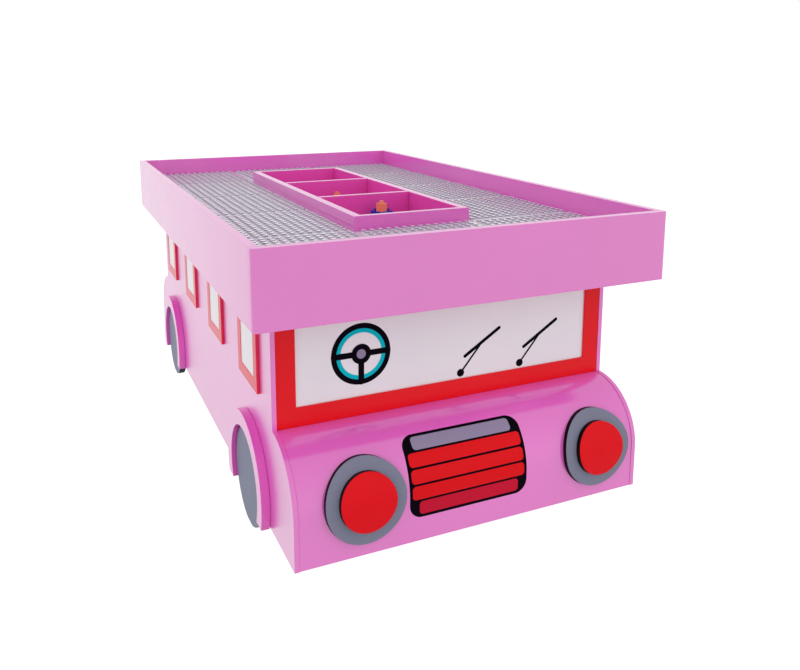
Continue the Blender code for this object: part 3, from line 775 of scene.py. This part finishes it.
def make_bolts():
    """Button-head bolts with hexagon sockets, from inside into the wheels."""
    for node in sorted(name for name in nodes if name.startswith("wheel_bolt_")):
        low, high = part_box(node)
        side = -1 if low.x < 0 else 1
        tip = high.x if side > 0 else low.x
        length = high.x - low.x
        radius = (high.z - low.z) / 2
        head = radius * HEAD_SLENDERNESS
        rise = head * HEAD_SIDE
        neck = length - head
        loops = [circle(BOLT_RADIUS - BOLT_CHAMFER, 0.0, BOLT_SEGMENTS),
                 circle(BOLT_RADIUS, BOLT_CHAMFER, BOLT_SEGMENTS),
                 circle(BOLT_RADIUS, neck, BOLT_SEGMENTS), circle(radius, neck, BOLT_SEGMENTS)]
        for step in range(HEAD_DOME_STEPS + 1):
            turn = HEAD_DOME * step / HEAD_DOME_STEPS
            up = neck + rise + (head - rise) * math.sin(turn) / math.sin(HEAD_DOME)
            loops.append(circle(radius * math.cos(turn), up, BOLT_SEGMENTS))
        loops.append(hexagon(SOCKET_REACH, length, BOLT_SEGMENTS))
        loops.append(hexagon(SOCKET_REACH, length - SOCKET_DEPTH, BOLT_SEGMENTS))
        shape = bmesh.new()
        stack(shape, loops)
        middle = Vector((tip, (low.y + high.y) / 2, (low.z + high.z) / 2))
        shape.transform(Matrix.Translation(middle)
                        @ Matrix.Rotation(-side * math.pi / 2, 4, "Y"))
        add_piece("steel_" + node, shape, (STEEL,), node)


def film(layer):
    """Where a layer of film starts and ends, out from the surface that it lies on."""
    return layer * FILM + FILM_GAP, (layer + 1) * FILM


def on_screen(place, lift):
    """A point over the windscreen, from x and z."""
    return Vector((place[0], SCREEN_Y - lift, place[1]))


def on_bonnet(place, lift):
    """A point over the bonnet, from x and the way up its skin."""
    x, up = place
    radius = SKIN_RADIUS + lift
    turn = max(0.0, (up - BEND_Z) / SKIN_RADIUS)
    level = up if turn == 0.0 else BEND_Z + radius * math.sin(turn)
    return Vector((x, BEND_Y - radius * math.cos(turn), level))


def round_outline(middle, radius):
    """Points round a circle in the windscreen's plane."""
    return [(middle[0] + p.x, middle[1] + p.y) for p in circle(radius, 0.0, PRINT_SEGMENTS)]


def bar_outline(start, end, width):
    """A bar with round ends, in the windscreen's plane."""
    along = Vector(end) - Vector(start)
    heading = math.atan2(along.y, along.x)
    half = width / 2
    points = []
    for middle, turn in ((end, -math.pi / 2), (start, math.pi / 2)):
        for step in range(CORNER_STEPS + 1):
            a = heading + turn + math.pi * step / CORNER_STEPS
            points.append((middle[0] + half * math.cos(a), middle[1] + half * math.sin(a)))
    return points


def print_patch(name, outline, layer, material):
    """A patch of film on the windscreen, from its outline."""
    shape = bmesh.new()
    stack(shape, [[on_screen(place, lift) for place in outline] for lift in film(layer)])
    add_piece("print_" + name, shape, (material,))


def print_ring(name, middle, radii, layer, material):
    """A ring of film on the windscreen, between two radii."""
    (inner, outer), (near, far) = radii, film(layer)
    shape = bmesh.new()
    rings = []
    for radius, lift in ((inner, near), (outer, near), (outer, far), (inner, far)):
        outline = round_outline(middle, radius)
        rings.append([shape.verts.new(on_screen(place, lift)) for place in outline])
    for first, second in zip(rings, rings[1:] + rings[:1]):
        bridge(shape, first, second)
    add_piece("print_" + name, shape, (material,))


def print_steering_wheel():
    """A steering wheel, printed on the windscreen."""
    x, z = middle = STEERING_PLACE
    print_ring("steering_rim", middle, STEERING_RIM, 0, PRINT_BLACK)
    print_ring("steering_ring", middle, STEERING_RING, 0, PRINT_CYAN)
    reach = (STEERING_RING[1] + STEERING_RIM[1]) / 2
    for layer, degrees in enumerate(SPOKE_TURNS, 1):
        turn = math.radians(degrees)
        end = (x + reach * math.cos(turn), z + reach * math.sin(turn))
        spoke = bar_outline(middle, end, SPOKE_WIDTH)
        print_patch(f"steering_spoke_{layer}", spoke, layer, PRINT_BLACK)
    print_patch("steering_hub", round_outline(middle, STEERING_HUB), layer + 1, PRINT_BLACK)
    print_patch("steering_cap", round_outline(middle, STEERING_CAP), layer + 2, PRINT_GREY)


def print_wipers():
    """Two wipers, printed on the windscreen."""
    reach = (BLADE_HALF * math.cos(BLADE_TURN), BLADE_HALF * math.sin(BLADE_TURN))
    for number, (foot, blade) in enumerate(WIPERS, 1):
        ends = [(blade[0] + way * reach[0], blade[1] + way * reach[1]) for way in (-1, 1)]
        print_patch(f"wiper_arm_{number}", bar_outline(foot, blade, ARM_WIDTH), 0, PRINT_BLACK)
        print_patch(f"wiper_blade_{number}", bar_outline(*ends, BLADE_WIDTH), 1, PRINT_BLACK)
        print_patch(f"wiper_foot_{number}", round_outline(foot, FOOT_RADIUS), 1, PRINT_BLACK)


def print_panel(name, across, upward, corner, layer, material):
    """A rounded rectangle of film laid over the bonnet's bend."""
    near, far = film(layer)
    low, high = upward
    straight = high - low - 2 * corner
    count = max(1, round(straight / SLAT_STEP))
    turns = [math.pi / 2 * step / CORNER_STEPS for step in range(CORNER_STEPS + 1)]
    rows = [(low + corner * (1 - math.cos(a)), corner * (1 - math.sin(a))) for a in turns]
    rows += [(low + corner + straight * step / count, 0.0) for step in range(1, count)]
    rows += [(high - corner * (1 - math.sin(a)), corner * (1 - math.cos(a))) for a in turns]
    loops = []
    for up, inset in rows:
        left, right = across[0] + inset, across[1] - inset
        corners = ((left, near), (right, near), (right, far), (left, far))
        loops.append([on_bonnet((x, up), lift) for x, lift in corners])
    shape = bmesh.new()
    stack(shape, loops)
    add_piece("print_" + name, shape, (material,))


def print_grille():
    """A radiator grille, printed on the bonnet: slats on a dark panel."""
    print_panel("grille_panel", GRILLE_X, GRILLE_UP, GRILLE_CORNER, 0, PRINT_BLACK)
    slats = (PRINT_DARK_RED, PRINT_RED, PRINT_RED, PRINT_RED, PRINT_GREY)
    low, high = GRILLE_UP[0] + GRILLE_BORDER, GRILLE_UP[1] - GRILLE_BORDER
    pitch = (high - low + SLAT_GAP) / len(slats)
    for number, material in enumerate(slats, 1):
        bottom = low + (number - 1) * pitch
        inset = GRILLE_BORDER + (END_SLAT_INSET if number in (1, len(slats)) else 0.0)
        across = (GRILLE_X[0] + inset, GRILLE_X[1] - inset)
        upward = (bottom, bottom + pitch - SLAT_GAP)
        print_panel(f"grille_slat_{number}", across, upward, SLAT_CORNER, 1, material)


make_camera()
make_sky()
make_floor()
finish_nodes()
make_plates()
make_rim_ends()
make_side_windows()
make_lamps()
make_bricks()
make_bolts()
print_steering_wheel()
print_wipers()
print_grille()
